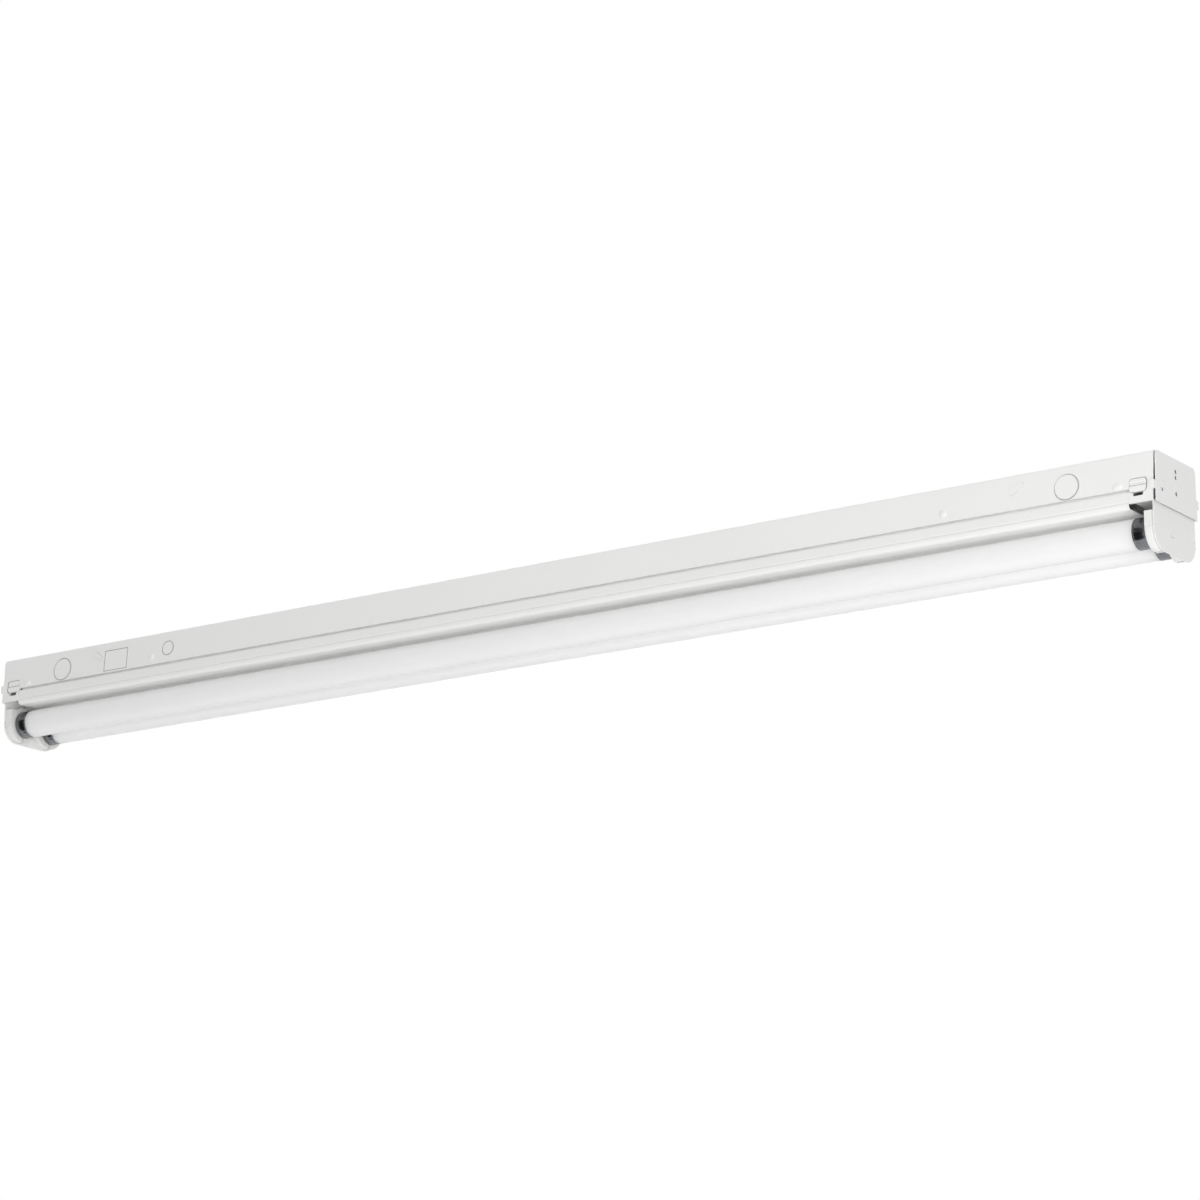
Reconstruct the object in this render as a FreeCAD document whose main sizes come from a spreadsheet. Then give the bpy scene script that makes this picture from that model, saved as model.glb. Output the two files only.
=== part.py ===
import FreeCAD, Part
import math
import os
from FreeCAD import Placement, Rotation, Vector

# Narrow two-tube strip light, held by its flat back. Millimetres.
# X runs along the length, Y across it, Z up. The origin is the middle of the channel's back face.

doc = FreeCAD.newDocument("strip_light")
sheet = doc.addObject("Spreadsheet::Sheet", "Sizes")


class Size:
    """A length that carries its value and the sheet expression that gives it."""

    def __init__(self, value, text):
        self.value = float(value)
        self.text = text

    def __neg__(self):
        return Size(-self.value, "(-1 * %s)" % self.text)

    def __add__(self, other):
        other = as_size(other)
        return Size(self.value + other.value, "(%s + %s)" % (self.text, other.text))

    def __sub__(self, other):
        other = as_size(other)
        return Size(self.value - other.value, "(%s - %s)" % (self.text, other.text))

    def __mul__(self, other):
        other = as_size(other)
        return Size(self.value * other.value, "(%s * %s)" % (self.text, other.text))

    def __truediv__(self, other):
        other = as_size(other)
        return Size(self.value / other.value, "(%s / %s)" % (self.text, other.text))

    __radd__ = __add__
    __rmul__ = __mul__

    def __rsub__(self, other):
        return as_size(other) - self


def as_size(number):
    """Turns a plain number into a Size, and leaves a Size alone."""
    if isinstance(number, Size):
        return number
    return Size(number, "(%s)" % repr(float(number)))


def tangent(angle):
    """The tangent of a sheet angle in degrees."""
    return Size(math.tan(math.radians(angle.value)), "tan(%s * 1 deg)" % angle.text)


row_count = 0


def cell(alias, value, note):
    """Writes one driving size into the sheet and returns it."""
    global row_count
    row_count += 1
    sheet.set("A%d" % row_count, note)
    sheet.set("B%d" % row_count, str(value))
    sheet.setAlias("B%d" % row_count, alias)
    return Size(value, "Sizes." + alias)


# ---- driving sizes -------------------------------------------------------------------------
lamp_length = cell("lamp_length", 1199.4, "between the two lamp base faces")
end_allowance = cell("end_allowance", 12.3, "lamp base face to the end plate's outer face")
gauge = cell("gauge", 0.8, "sheet steel thickness")
channel_width = cell("channel_width", 69.85, "outside width of the channel's back")
wall_flare = cell("wall_flare", 5.0, "lean of each side wall, degrees")
wall_depth = cell("wall_depth", 30.0, "back face to the lower edge of the side wall")
ear_depth = cell("ear_depth", 42.0, "back face to the lower edge of the wall's end ears")
lip_width = cell("lip_width", 5.0, "inward lip along the side wall")
bend_radius = cell("bend_radius", 3.0, "outside radius of the channel's long bends")
end_gap = cell("end_gap", 0.8, "open corner between wall end and end plate")
plate_inset = cell("plate_inset", 2.7, "lampholder plate's outer face behind the end plate's")
cover_inset = cell("cover_inset", 22.8, "cover's end behind the end plate's outer face")
cover_depth = cell("cover_depth", 46.2, "back face to the cover's flat underside")
cover_overhang = cell("cover_overhang", 0.85, "cover's side beyond the side wall's lower edge")
cover_corner = cell("cover_corner", 3.8, "outside radius of the cover's lower corners")
seam_gap = cell("seam_gap", 0.3, "clearance where pieces meet loosely")
lamp_spacing = cell("lamp_spacing", 36.3, "between the two tube axes")
lamp_drop = cell("lamp_drop", 61.7, "back face to the tube axes")
lamp_diameter = cell("lamp_diameter", 25.7, "glass tube")
glass_wall = cell("glass_wall", 0.9, "glass thickness")
cap_length = cell("cap_length", 12.7, "aluminium lamp base")
cap_wall = cell("cap_wall", 0.4, "lamp base sheet")
pin_spacing = cell("pin_spacing", 12.7, "between the two pins of a base")
pin_diameter = cell("pin_diameter", 2.36, "lamp pin")
pin_length = cell("pin_length", 7.1, "lamp pin beyond the base face")
holder_gap = cell("holder_gap", 0.7, "lamp base face to lampholder face")
holder_radius = cell("holder_radius", 16.8, "round lower part of a lampholder")
plate_margin = cell("plate_margin", 0.7, "lampholder plate beyond the lampholder's outline")
holder_top = cell("holder_top", 48.4, "back face to the top of a lampholder")
rotor_radius = cell("rotor_radius", 9.1, "turning part of a lampholder")
rotor_depth = cell("rotor_depth", 3.2, "thickness of the turning part")
ballast_length = cell("ballast_length", 241.0, "electronic ballast")
ballast_width = cell("ballast_width", 43.0, "electronic ballast")
ballast_height = cell("ballast_height", 25.0, "electronic ballast")
knockout_radius = cell("knockout_radius", 11.1, "seven eighths inch knockout")
knockout_inset = cell("knockout_inset", 77.0, "knockout centre from the fixture's end")
groove_width = cell("groove_width", 0.9, "sheared line round a knockout")
groove_depth = cell("groove_depth", 0.55, "depth of a knockout's sheared line")
hanger_inset = cell("hanger_inset", 40.5, "hanger hole from the fixture's end")
hanger_radius = cell("hanger_radius", 3.6, "hanger hole")
latch_inset = cell("latch_inset", 192.0, "cover latch from the fixture's end")
latch_shank = cell("latch_shank", 3.0, "radius of a latch's shank")
lead_diameter = cell("lead_diameter", 2.1, "insulated lead")
lead_bend = cell("lead_bend", 11.0, "smallest bend of a lead, to its middle line")
doc.recompute()

# ---- worked-out sizes ----------------------------------------------------------------------
slope = tangent(wall_flare)
half_length = lamp_length / 2 + end_allowance
wall_end = half_length - gauge - end_gap
cover_length = (half_length - cover_inset) * 2
ear_start = cover_length / 2 + seam_gap
plate_face = half_length - plate_inset
plate_back = plate_face - gauge
holder_face = lamp_length / 2 + holder_gap
lamp_radius = lamp_diameter / 2
lamp_z = -lamp_drop
holder_y = lamp_spacing / 2
plate_radius = holder_radius + plate_margin
plate_half_width = holder_y + plate_radius
shelf_top = ear_depth - 3.4


def wall_y(depth):
    """Half width over the walls at a depth below the back face."""
    return channel_width / 2 + slope * depth


# ---- makers --------------------------------------------------------------------------------
def bind(thing, **sizes):
    """Binds properties to the sheet."""
    for name, size in sizes.items():
        thing.setExpression(name, as_size(size).text)


def place(thing, x, y, z):
    """Binds an object's position."""
    for axis, size in (("x", x), ("y", y), ("z", z)):
        thing.setExpression("Placement.Base." + axis, as_size(size).text)


def block(x, y, z, length, width, height):
    """A box by its centre and its sizes."""
    box = doc.addObject("Part::Box", "block")
    bind(box, Length=length, Width=width, Height=height)
    place(box, x - as_size(length) / 2, y - as_size(width) / 2, z - as_size(height) / 2)
    return box


TURN_TO = {
    "x": Rotation(Vector(0, 1, 0), 90),
    "y": Rotation(Vector(1, 0, 0), -90),
    "z": Rotation(),
}


def rod(axis, x, y, z, radius, length):
    """A round bar by its centre, along a row axis."""
    bar = doc.addObject("Part::Cylinder", "rod")
    bar.Placement = Placement(Vector(), TURN_TO[axis])
    bind(bar, Radius=radius, Height=length)
    half = as_size(length) / 2
    start = {"x": (x - half, y, z), "y": (x, y - half, z), "z": (x, y, z - half)}[axis]
    place(bar, *start)
    return bar


def cone(axis, x, y, z, radius_start, radius_end, length):
    """A cone by the middle of its first face, along a row axis."""
    tip = doc.addObject("Part::Cone", "cone")
    tip.Placement = Placement(Vector(), TURN_TO[axis])
    bind(tip, Radius1=radius_start, Radius2=radius_end, Height=length)
    place(tip, x, y, z)
    return tip


def fuse(*pieces):
    """Joins pieces into one solid."""
    union = doc.addObject("Part::MultiFuse", "union")
    union.Shapes = list(pieces)
    union.Refine = True
    return union


def cut(base, *tools):
    """Cuts tools out of a base."""
    result = doc.addObject("Part::Cut", "cutting")
    result.Base = base
    result.Tool = tools[0] if len(tools) == 1 else fuse(*tools)
    return result


def group(*pieces):
    """Keeps separate solids together in one sub-part."""
    bundle = doc.addObject("Part::Compound", "set")
    bundle.Links = list(pieces)
    return bundle


def origin_plane(body, role):
    return [plane for plane in body.Origin.OriginFeatures if plane.Role == role][0]


def prism(corners, start, length, rounds=()):
    """A body padded along +X from a closed outline in Y and Z; rounds are (corner numbers, radius)."""
    body = doc.addObject("PartDesign::Body", "prism")
    sketch = body.newObject("Sketcher::SketchObject", "outline")
    sketch.AttachmentSupport = [(origin_plane(body, "YZ_Plane"), "")]
    sketch.MapMode = "FlatFace"
    corners = [(as_size(y), as_size(z)) for y, z in corners]
    count = len(corners)
    for index, (y, z) in enumerate(corners):
        next_y, next_z = corners[(index + 1) % count]
        sketch.addGeometry(Part.LineSegment(Vector(y.value, z.value, 0), Vector(next_y.value, next_z.value, 0)))
    import Sketcher
    for index in range(count):
        sketch.addConstraint(Sketcher.Constraint("Coincident", index, 2, (index + 1) % count, 1))
    for index, (y, z) in enumerate(corners):
        for kind, size in (("DistanceX", y), ("DistanceY", z)):
            number = sketch.addConstraint(Sketcher.Constraint(kind, -1, 1, index, 1, size.value))
            sketch.setExpression("Constraints[%d]" % number, size.text)
    sketch.setExpression("AttachmentOffset.Base.z", as_size(start).text)
    pad = body.newObject("PartDesign::Pad", "pad")
    pad.Profile = sketch
    bind(pad, Length=length)
    doc.recompute()
    feature = pad
    for numbers, radius in rounds:
        wanted = [(corners[number][0].value, corners[number][1].value) for number in numbers]
        edges = []
        for index, edge in enumerate(feature.Shape.Edges):
            ends = [vertex.Point for vertex in edge.Vertexes]
            if len(ends) != 2 or abs(ends[0].x - ends[1].x) < 0.001:
                continue
            if any(math.hypot(ends[0].y - y, ends[0].z - z) < 0.001 for y, z in wanted):
                edges.append("Edge%d" % (index + 1))
        rounded = body.newObject("PartDesign::Fillet", "rounded")
        rounded.Base = (feature, edges)
        bind(rounded, Radius=radius)
        doc.recompute()
        feature = rounded
    body.Tip = feature
    return body


def wall_rod(side, x, depth, radius, outward, inward):
    """A round tool square to the leaning side wall; side is -1 for the front wall, 1 for the rear."""
    tool = doc.addObject("Part::Cylinder", "wall_tool")
    lean = 90.0 - wall_flare.value
    tool.Placement = Placement(Vector(), Rotation(Vector(1, 0, 0), -side * lean))
    tool.setExpression("Placement.Rotation.Angle", "90 - " + wall_flare.text)
    tool.Placement.Rotation.Axis = Vector(-side, 0, 0)
    bind(tool, Radius=radius, Height=as_size(outward) + inward)
    rise = slope * inward
    place(tool, x, side * (wall_y(as_size(depth)) - inward), -as_size(depth) - rise)
    return tool


def wall_ring(side, x, depth, radius):
    """The sheared line round a knockout in a side wall."""
    outer = wall_rod(side, x, depth, radius, 1.0, groove_depth)
    inner = wall_rod(side, x, depth, as_size(radius) - groove_width, 2.0, groove_depth + 1.0)
    return cut(outer, inner)


nodes = []
ground_x = 240.0


def keep(name, thing):
    """Names a finished sub-part."""
    thing.Label = name
    nodes.append(thing)
    return thing


# ---- channel -------------------------------------------------------------------------------
def channel_section():
    """Outline of the folded channel: back and two leaning walls."""
    top = channel_width / 2
    low = wall_y(wall_depth)
    return [
        (-top, 0), (top, 0), (low, -wall_depth), (low - gauge, -wall_depth),
        (top - gauge, -gauge), (-top + gauge, -gauge), (-low + gauge, -wall_depth), (-low, -wall_depth),
    ]


def wall_strip(side, depth_a, depth_b, start, length):
    """A stretch of leaning wall between two depths."""
    outer_a = wall_y(as_size(depth_a))
    outer_b = wall_y(as_size(depth_b))
    corners = [
        (side * outer_a, -as_size(depth_a)), (side * outer_b, -as_size(depth_b)),
        (side * (outer_b - gauge), -as_size(depth_b)), (side * (outer_a - gauge), -as_size(depth_a)),
    ]
    return prism(corners, start, length)


cover_bulge = wall_y(wall_depth) + cover_overhang
window_centre = half_length - 14.6
window_width = as_size(16.0)


def rounded_panel(x, depth_top, depth_bottom, width, corner, y, thickness):
    """A panel facing Y with four round corners."""
    depth_top = as_size(depth_top)
    depth_bottom = as_size(depth_bottom)
    middle = -(depth_top + depth_bottom) / 2
    height = depth_bottom - depth_top
    pieces = [block(x, y, middle, width, thickness, height - corner * 2),
              block(x, y, middle, as_size(width) - corner * 2, thickness, height)]
    for across in (-1, 1):
        for depth in (depth_top + corner, depth_bottom - corner):
            corner_x = x + across * (as_size(width) / 2 - corner)
            pieces.append(rod("y", corner_x, y, -depth, corner, thickness))
    return fuse(*pieces)


def dome(side, x, depth, half_width, half_height, bulge):
    """A smooth bump pressed out of a side wall."""
    bump = doc.addObject("Part::Ellipsoid", "bump")
    bind(bump, Radius1=half_height, Radius2=half_width, Radius3=as_size(bulge) + gauge / 2)
    bump.Angle1 = -90
    bump.Angle2 = 90
    bump.Angle3 = 360
    place(bump, x, side * (wall_y(as_size(depth)) - gauge / 2), -as_size(depth))
    return bump


def channel_housing():
    """Folded channel with inward lips, end ears, latch windows, knockouts and hanger holes."""
    shell = prism(channel_section(), -wall_end, wall_end * 2, [((0, 1), bend_radius), ((4, 5), bend_radius - gauge)])
    pieces = [shell]
    lip_run = (window_centre - window_width / 2 - 0.2) * 2
    for side in (-1, 1):
        middle = side * (wall_y(wall_depth) - lip_width / 2 - 0.05)
        pieces.append(block(0, middle, -wall_depth + gauge / 2, lip_run, lip_width - 0.1, gauge))
        for end in (-1, 1):
            start = ear_start if end > 0 else -wall_end
            pieces.append(wall_strip(side, wall_depth - 1, ear_depth, start, wall_end - ear_start))
            hem_y = side * (wall_y(ear_depth) - gauge - 0.4)
            pieces.append(block(end * (ear_start + wall_end) / 2, hem_y, -ear_depth + gauge / 2,
                                wall_end - ear_start, 1.6, gauge))
            pieces.append(dome(side, end * (half_length - 32.6), 26.6, 4.6, 3.0, 1.2))
            pieces.append(dome(side, end * (half_length - 189.0), 23.0, 3.7, 3.7, 1.1))
            pieces.append(wall_boss(side, end, end * (half_length - 122.0), 12.4))
            knockout_x = end * (half_length - knockout_inset)
            proud = 1.1 if end > 0 else 0.45
            pieces.append(wall_rod(side, knockout_x, 18.8, knockout_radius - groove_width, proud, 0.4))
        pieces.append(wall_rod(-1, -(half_length - 209.0), 16.6, 7.1 - groove_width, 0.3, 0.4))
    tools = []
    for end in (-1, 1):
        for side in (-1, 1):
            face = side * wall_y(as_size(29.6))
            tools.append(rounded_panel(end * window_centre, 21.6, 33.4, window_width, 3.0, face, 6.0))
            tools.append(rounded_panel(end * window_centre, 30.0, 36.4, 9.0, 1.2, face, 6.0))
            tools.append(wall_ring(side, end * (half_length - knockout_inset), 18.8, knockout_radius))
        tools.append(rod("z", end * (half_length - hanger_inset), 0, -gauge / 2, hanger_radius, 4.0))
        tools.append(cut(rod("z", end * 300.0, 0, 0.5 - groove_depth, knockout_radius, 1.0),
                         rod("z", end * 300.0, 0, 0.5 - groove_depth, knockout_radius - groove_width, 2.0)))
    tools.append(rod("z", 180.0, 0, -gauge / 2, knockout_radius, 4.0))
    tools.append(rod("z", ground_x, 0, -gauge / 2, 1.9, 4.0))
    tools.append(wall_ring(-1, -(half_length - 209.0), 16.6, 7.1))
    for ballast_end in (-1, 1):
        tools.append(rod("z", ballast_end * (ballast_length / 2 - 5.5), 0, -gauge / 2, 2.2, 4.0))
    tools.append(square_knockout(-(half_length - 144.5), 18.6))
    return keep("channel_housing", cut(fuse(*pieces), *tools))


def square_knockout(x, depth):
    """The sheared line round the rectangular knockout in the front wall, cut only part of the way through."""
    centre_y = -wall_y(as_size(depth))
    outer = block(x, centre_y, -depth, 28.6, 6.0, 20.2)
    inner = block(x, centre_y, -depth, 27.4, 8.0, 19.0)
    inner_high = wall_y(as_size(0.0)) - groove_depth
    inner_low = wall_y(as_size(40.0)) - groove_depth
    behind = prism([(-inner_high, 0), (-inner_low, -40), (0, -40), (0, 0)], x - 30.0, 60.0)
    return cut(outer, inner, behind)


def wall_boss(side, end, x, depth):
    """A short slanting oblong pressed out of a side wall."""
    middle = block(0, 0, 0, 9.6, 1.6, 4.4)
    rounds = [rod("y", sign * 4.8, 0, 0, 2.2, 1.6) for sign in (-1, 1)]
    whole = fuse(middle, *rounds)
    lean = Rotation(Vector(1, 0, 0), side * wall_flare.value)
    whole.Placement = Placement(Vector(), lean.multiply(Rotation(Vector(0, 1, 0), -37 * end)))
    place(whole, x, side * (wall_y(as_size(depth)) + 0.05), -as_size(depth))
    return whole


# ---- ends ----------------------------------------------------------------------------------
def end_plate(end, name):
    """Plate that closes the channel's end: corner tabs, joining holes and a small raised stop."""
    top = channel_width / 2 - 0.6
    low = wall_y(ear_depth) - 3.0
    start = half_length - gauge if end > 0 else -half_length
    outline = [(-top, -0.1), (top, -0.1), (low, -ear_depth), (-low, -ear_depth)]
    sheet_body = prism(outline, start, gauge, [((0, 1), 4.0)])
    middle = end * (half_length - gauge / 2)
    pieces = [sheet_body]
    for side in (-1, 1):
        tab_y = side * (wall_y(29.0) + gauge / 2 + 0.4)
        pieces.append(block(middle, side * (wall_y(29.0) - 0.9), -29.1, gauge, 4.0, 7.0))
        pieces.append(block(end * (half_length - 1.9), tab_y, -29.1, 3.8, gauge, 7.0))
    pieces.append(block(end * (half_length + 0.35), -25.0 * end, -27.2, 0.9, 7.0, 4.6))
    tools = [rod("x", middle, 0, -as_size(depth), 1.9, 4.0) for depth in (10.5, 15.4, 28.7)]
    tools.append(block(middle, -24.2 * end, -30.6, 4.0, 3.0, 2.2))
    return keep(name, cut(fuse(*pieces), *tools))


def socket_plate(end, name):
    """Bracket that carries two lampholders: plate, shelf and two tongues in the latch windows."""
    top_z = -(shelf_top + 3.0)
    outline = [
        (-plate_half_width, top_z), (plate_half_width, top_z),
        (plate_half_width, lamp_z - plate_radius), (-plate_half_width, lamp_z - plate_radius),
    ]
    start = plate_back if end > 0 else -plate_face
    plate = prism(outline, start, gauge, [((2, 3), plate_radius - 0.01)])
    bend_x = end * (plate_face - 3.0)
    width = plate_half_width * 2
    bend = cut(rod("y", bend_x, 0, top_z, 3.0, width),
               rod("y", bend_x, 0, top_z, 3.0 - gauge, width + 2),
               block(bend_x, 0, top_z - 2.0, 8.0, width + 2, 4.0),
               block(bend_x - end * 2.0, 0, top_z, 4.0, width + 2, 8.0))
    shelf_inner = ear_start + 0.4
    shelf_length = plate_face - 3.0 - shelf_inner
    shelf = block(end * (shelf_inner + shelf_length / 2), 0, -shelf_top - gauge / 2, shelf_length, width, gauge)
    pieces = [plate, bend, shelf]
    for side in (-1, 1):
        inset = gauge + seam_gap + 1.1
        corners = [
            (side * (wall_y(shelf_top + gauge) - inset), -(shelf_top + gauge)),
            (side * (wall_y(as_size(19.0)) - inset), -19.0),
            (side * (wall_y(as_size(19.0)) - inset - gauge), -19.0),
            (side * (wall_y(shelf_top + gauge) - inset - gauge), -(shelf_top + gauge)),
        ]
        leg_start = window_centre - 6.9
        leg_length = as_size(13.8)
        pieces.append(prism(corners, leg_start if end > 0 else -(leg_start + leg_length), leg_length))
        foot_outer = wall_y(shelf_top + gauge) - inset - 0.1
        foot_width = 12.0
        pieces.append(block(end * (leg_start + leg_length / 2), side * (foot_outer - foot_width / 2),
                            -shelf_top - gauge / 2, leg_length, foot_width, gauge))
        tongue = []
        for depth, out in ((32.8, -0.5), (31.0, 0.1), (28.0, 0.2), (27.5, -0.7), (26.6, 0.1), (25.4, -0.4),
                           (24.4, 0.1), (23.2, -0.4), (22.2, 0.0)):
            tongue.append((side * (wall_y(as_size(depth)) + out), -depth))
        for depth in (22.2, 32.8):
            tongue.append((side * (wall_y(as_size(depth)) - inset - 0.5), -depth))
        tongue_start = window_centre - window_width / 2 - 1
        tongue_length = window_width + 2
        ribbed = prism(tongue, tongue_start if end > 0 else -(tongue_start + tongue_length), tongue_length)
        outline = rounded_panel(end * (window_centre - 0.4), 22.1, 32.9, window_width - 1.6, 2.6,
                                side * wall_y(as_size(27.5)), 9.0)
        trimmed = doc.addObject("Part::MultiCommon", "tongue")
        trimmed.Shapes = [ribbed, outline]
        pieces.append(trimmed)
    tools = []
    for side in (-1, 1):
        tools.append(block(end * (plate_back - 5.4), side * (holder_y - 6.0), -shelf_top - gauge / 2, 6.0, 8.0, 4.0))
        tools.append(block(end * window_centre, side * wall_y(36.0), -35.8, 9.8, 9.0, 5.6))
        for drop in (1.2, -3.3):
            tools.append(rod("x", end * plate_face, side * (plate_half_width - 1.1), lamp_z + drop, 0.6, 6.0))
    raised = block(end * (plate_face + 0.3), -4.0 * end, lamp_z - 1.0, 1.0, 7.0, 3.4)
    return keep(name, cut(fuse(*pieces, raised), *tools))


# ---- cover ---------------------------------------------------------------------------------
def wireway_cover():
    """Cover that hides wiring and ballast: flaring side flange, lengthwise crease and flat underside."""
    crease = as_size(39.8)
    step = wall_depth + 2.2
    return_y = cover_bulge - 4.9
    outer = [
        (return_y, -wall_depth), (return_y, -step), (cover_bulge - 1.6, -step), (cover_bulge - 0.4, -crease),
        (cover_bulge - 0.9, -crease - 0.9), (cover_bulge, -crease - 2.1), (cover_bulge, -cover_depth),
    ]
    inner = [
        (cover_bulge - gauge, -cover_depth + gauge), (cover_bulge - gauge, -crease - 2.4),
        (cover_bulge - 0.9 - gauge, -crease - 1.0), (cover_bulge - 0.5 - gauge, -crease - 0.1),
        (cover_bulge - 1.6 - gauge * 0.9, -step - gauge), (return_y - gauge, -step - gauge),
        (return_y - gauge, -wall_depth),
    ]
    corners = [(y, z) for y, z in outer]
    corners += [(-y, z) for y, z in reversed(outer)]
    corners += [(-y, z) for y, z in reversed(inner)]
    corners += [(y, z) for y, z in inner]
    rounds = [((6, 7), cover_corner), ((20, 21), cover_corner - gauge)]
    shell = prism(corners, -cover_length / 2, cover_length, rounds)
    under = -cover_depth
    latch_x = half_length - latch_inset
    tools = [rod("z", end * latch_x, 0, under + gauge / 2, latch_shank + 0.08, 4.0) for end in (-1, 1)]
    ring_x = -(half_length - 47.0)
    tools.append(cut(rod("z", ring_x, 0, under + groove_depth - 0.5, knockout_radius, 1.0),
                     rod("z", ring_x, 0, under + groove_depth - 0.5, knockout_radius - groove_width, 2.0)))
    return keep("wireway_cover", cut(shell, *tools))


def cover_latch(end, name):
    """Quarter-turn latch: slotted head below the cover, shank, and a bar that rests on both lips."""
    x = end * (half_length - latch_inset)
    bar_low = -wall_depth + gauge + seam_gap
    head_top = -cover_depth - seam_gap / 2
    shank_length = bar_low - head_top + 0.2
    head = rod("z", x, 0, head_top - 0.75, 6.5, 1.5)
    shank = rod("z", x, 0, head_top + shank_length / 2 - 0.1, latch_shank, shank_length)
    bar_length = (wall_y(wall_depth) - gauge - 1.6) * 2
    bar = block(x, 0, bar_low + 0.75, 9.0, bar_length, 1.5)
    slot = block(x, 0, head_top - 1.5, 9.0, 1.4, 1.6)
    return keep(name, cut(fuse(head, shank, bar), slot))


# ---- lampholders ---------------------------------------------------------------------------
pocket_radius = rotor_radius + 0.3
pocket_floor = plate_back - 1.0
rotor_start = holder_face + 0.5
pin_slot = pin_diameter + 0.7


def lampholder_body(end, side, name):
    """White lampholder: round lower part, square neck, pocket for the rotor and a mouth for the pins."""
    y = side * holder_y
    step = as_size(1.5)
    depth = plate_back - holder_face
    front_middle = end * (holder_face + (depth - step) / 2)
    back_middle = end * (plate_back - step / 2)
    neck_height = lamp_drop - holder_top
    neck_z = -holder_top - neck_height / 2
    front = fuse(rod("x", front_middle, y, lamp_z, holder_radius, depth - step),
                 block(front_middle, y, neck_z, depth - step, holder_radius * 2, neck_height))
    back = fuse(rod("x", back_middle, y, lamp_z, holder_radius - 1.2, step),
                block(back_middle, y, neck_z, step, (holder_radius - 1.2) * 2, neck_height))
    pocket_depth = pocket_floor - holder_face + 1
    pocket_middle = end * (holder_face - 1 + pocket_depth / 2)
    pocket = rod("x", pocket_middle, y, lamp_z, pocket_radius, pocket_depth)
    mouth = block(pocket_middle, y, lamp_z - holder_radius, pocket_depth, pin_slot, holder_radius * 2)
    port = rod("z", end * (plate_back - 5.4), side * (holder_y - 6.0), -holder_top, lead_diameter / 2 + 0.15, 8.0)
    seam = block(front_middle, y + side * holder_radius, lamp_z + 0.6, depth, 0.9, 0.7)
    return keep(name, cut(fuse(front, back), pocket, mouth, port, seam))


def lampholder_rotor(end, side, name):
    """Turning part of a lampholder: a disc with an open slot that takes both pins."""
    y = side * holder_y
    middle = end * (rotor_start + rotor_depth / 2)
    disc = rod("x", middle, y, lamp_z, rotor_radius, rotor_depth)
    far = pin_spacing / 2 + pin_diameter / 2 + 0.35
    slot_length = far + rotor_radius + 1
    slot = block(middle, y + far - slot_length / 2, lamp_z, rotor_depth + 2, slot_length, pin_slot)
    arrow = block(end * rotor_start, y, lamp_z + 5.6, 0.8, 1.0, 3.4)
    return keep(name, cut(disc, slot, arrow))


def lampholder_contacts(end, side, name):
    """Two brass contact strips on the pocket's wall, beside the locked pins."""
    y = side * holder_y
    start = rotor_start + rotor_depth + 0.35
    length = pocket_floor - start - 0.1
    middle = end * (start + length / 2)
    ring_outer = pocket_radius - 0.05
    ring_inner = pin_spacing / 2 + pin_diameter / 2 + 0.35
    strips = []
    for which in (-1, 1):
        ring = cut(rod("x", middle, y, lamp_z, ring_outer, length),
                   rod("x", middle, y, lamp_z, ring_inner, length + 1))
        common = doc.addObject("Part::MultiCommon", "strip")
        common.Shapes = [ring, block(middle, y + which * 9.0, lamp_z, length, 9.0, 8.0)]
        strips.append(common)
    return keep(name, group(*strips))


# ---- lamps ---------------------------------------------------------------------------------
def lamp(side, name):
    """One tube: glass, two bases, insulators, pins and the electrode mounts inside."""
    y = side * holder_y
    face = lamp_length / 2
    glass_end = face - 2.0
    bore = lamp_radius - glass_wall
    neck = lamp_radius - cap_wall - 0.02
    tube = cut(fuse(rod("x", 0, y, lamp_z, lamp_radius, (face - cap_length) * 2),
                    rod("x", 0, y, lamp_z, neck, glass_end * 2)),
               rod("x", 0, y, lamp_z, bore, (glass_end - 1.0) * 2))
    keep(name + "_tube", tube)
    pins = []
    discs = []
    mounts = []
    for end, word in ((-1, "left"), (1, "right")):
        middle = end * (face - cap_length / 2)
        hole = lamp_radius - cap_wall
        cup = cut(rod("x", middle, y, lamp_z, lamp_radius, cap_length - 0.04),
                  rod("x", end * (face - cap_length / 2 - cap_wall), y, lamp_z, hole, cap_length),
                  rod("x", end * face, y, lamp_z, pin_spacing / 2 + 2.4, 4.0))
        keep("%s_cap_%s" % (name, word), cup)
        disc_middle = end * (face - 0.9)
        disc = rod("x", disc_middle, y, lamp_z, pin_spacing / 2 + 2.4, 1.0)
        holes = []
        for which in (-1, 1):
            pin_y = y + which * pin_spacing / 2
            length = pin_length + 1.4
            pins.append(rod("x", end * (face + pin_length - length / 2), pin_y, lamp_z, pin_diameter / 2, length))
            holes.append(rod("x", disc_middle, pin_y, lamp_z, pin_diameter / 2, 3.0))
        discs.append(cut(disc, *holes))
        stem_x = end * (glass_end - 1.0 - 14.0)
        stem = fuse(cone("x", stem_x if end > 0 else stem_x - 14.0, y, lamp_z,
                         4.0 if end > 0 else bore - 1.0, bore - 1.0 if end > 0 else 4.0, 14.0),
                    block(stem_x - end * 5.0, y, lamp_z, 11.0, 2.0, 8.0),
                    rod("x", stem_x - end * 14.0, y - 5.0, lamp_z, 0.35, 10.0),
                    rod("x", stem_x - end * 14.0, y + 5.0, lamp_z, 0.35, 10.0),
                    rod("y", stem_x - end * 18.5, y, lamp_z, 0.8, 11.0),
                    block(stem_x - end * 9.6, y, lamp_z, 1.2, 11.0, 1.6))
        mounts.append(stem)
    keep(name + "_insulators", group(*discs))
    keep(name + "_pins", group(*pins))
    keep(name + "_electrodes", group(*mounts))


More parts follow.
